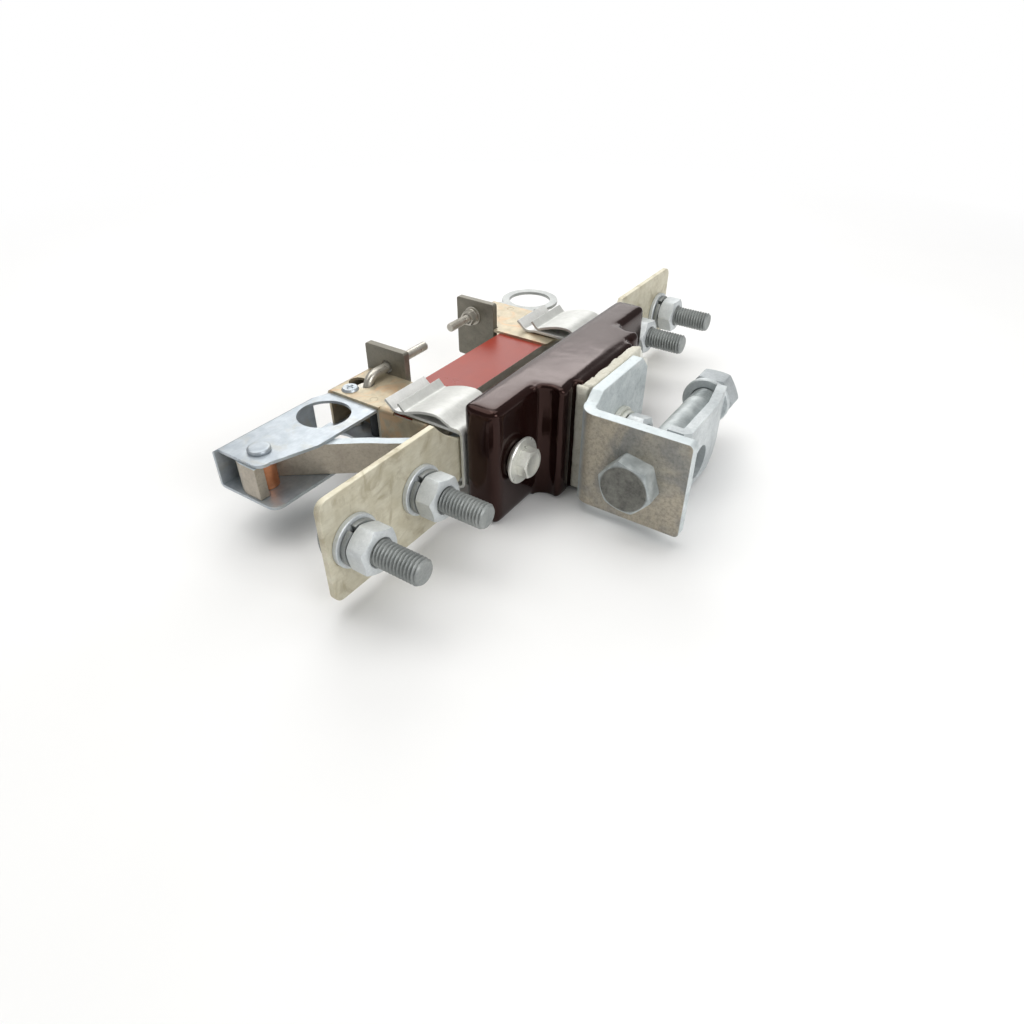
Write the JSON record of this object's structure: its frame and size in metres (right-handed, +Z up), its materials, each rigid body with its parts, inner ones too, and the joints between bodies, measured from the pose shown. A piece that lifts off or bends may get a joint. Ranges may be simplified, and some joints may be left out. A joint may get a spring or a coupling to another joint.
{
  "type": "low tension fuse switch",
  "caption": "Pole-mounted low tension fuse switch: brown porcelain bar with spring jaws, swing-out fuse carrier, studded terminals and a crossarm clamp bracket.",
  "frame": {"origin": "centre of the bounding box in X and Y, on the plane the switch lies on", "axes": "+X towards the mounting bracket, away from the fuse carrier; +Y from the hinge end (lower terminal) to the pull ring end (upper terminal); +Z up, across the width of the porcelain bar as it lies on its side"},
  "size_m": [0.188, 0.321, 0.062],
  "materials": {
    "galvanised_steel": "hot-dip galvanised, mottled grey",
    "galvanised_thread": "hot-dip galvanised thread, dull grey",
    "galvanised_strap": "hot-dip galvanised, light grey",
    "glazed_porcelain": "deep brown glaze, glossy",
    "cement": "rough set cement, off-white",
    "tinned_plate": "tin plated, satin, warm white",
    "tinned_spring": "tin plated spring strip, satin",
    "nickel_hardware": "nickel plated, satin",
    "weathered_bar": "dull grey-brown plated bar",
    "copper": "bare copper, satin",
    "zinc_sheet": "bright zinc plated, bluish",
    "yellow_contact": "yellow passivated contact plate",
    "red_fibre": "red laminated board, matt",
    "grey_tag": "dark warm grey, matt",
    "dark_tube": "dark, matt"
  },
  "bodies": {
    "base": {"insulator": "glazed_porcelain", "cement_pad": "cement", "mounting_bracket": "galvanised_steel", "bracket_stud": "galvanised_thread", "bracket_washer": "galvanised_steel", "bracket_lock_washer": "galvanised_thread", "bracket_nut": "galvanised_steel", "clamp_bolt": "galvanised_thread", "lower_terminal": "tinned_plate", "upper_terminal": "tinned_plate", "terminal_bolts": "galvanised_thread", "terminal_washers": "galvanised_steel", "terminal_lock_washers": "galvanised_thread", "terminal_nuts": "galvanised_steel", "lower_jaw": "tinned_spring", "upper_jaw": "tinned_spring", "lower_jaw_spring": "tinned_spring", "upper_jaw_spring": "tinned_spring", "contact_bolts": "nickel_hardware", "contact_washers": "nickel_hardware", "contact_lock_washers": "nickel_hardware", "contact_nuts": "nickel_hardware", "hinge_arm": "weathered_bar", "pivot_sleeve": "copper"},
    "clamp": {"clamp_strap": "galvanised_strap", "clamp_washer": "galvanised_steel"},
    "clamp_screw": {"clamp_nut": "galvanised_steel"},
    "carrier": {"pivot_rivet": "zinc_sheet", "hinge_yoke": "zinc_sheet", "lower_blade": "yellow_contact", "upper_blade": "yellow_contact", "carrier_board": "red_fibre", "board_rivets": "yellow_contact", "lower_tag": "grey_tag", "upper_tag": "grey_tag", "hook_rod": "nickel_hardware", "link_bolt": "nickel_hardware", "link_washer": "nickel_hardware", "link_lock_washer": "nickel_hardware", "link_nut": "nickel_hardware", "pull_ring": "zinc_sheet", "ring_rivets": "yellow_contact", "yoke_screws": "zinc_sheet", "yoke_nuts": "nickel_hardware", "yoke_spacer": "dark_tube", "yoke_rivet": "yellow_contact"}
  },
  "joints": [
    {"name": "carrier_swing", "type": "hinge", "parent": "base", "child": "carrier", "pos_m": [-0.0758, -0.1316, 0.031], "axis": [0, 0, 1], "range_deg": [0, 165]},
    {"name": "clamp_slide", "type": "slide", "parent": "base", "child": "clamp", "axis": [0, -1, 0], "range_m": [0, 0.02]},
    {"name": "clamp_nut_turn", "type": "hinge", "parent": "clamp", "child": "clamp_screw", "pos_m": [0.0685, 0.05, 0.02955], "axis": [0, -1, 0], "range_deg": [0, 3600]}
  ],
  "couplings": [
    {"joint": "clamp_nut_turn", "follows": "clamp_slide", "rad_per_m": 3141.6}
  ]
}
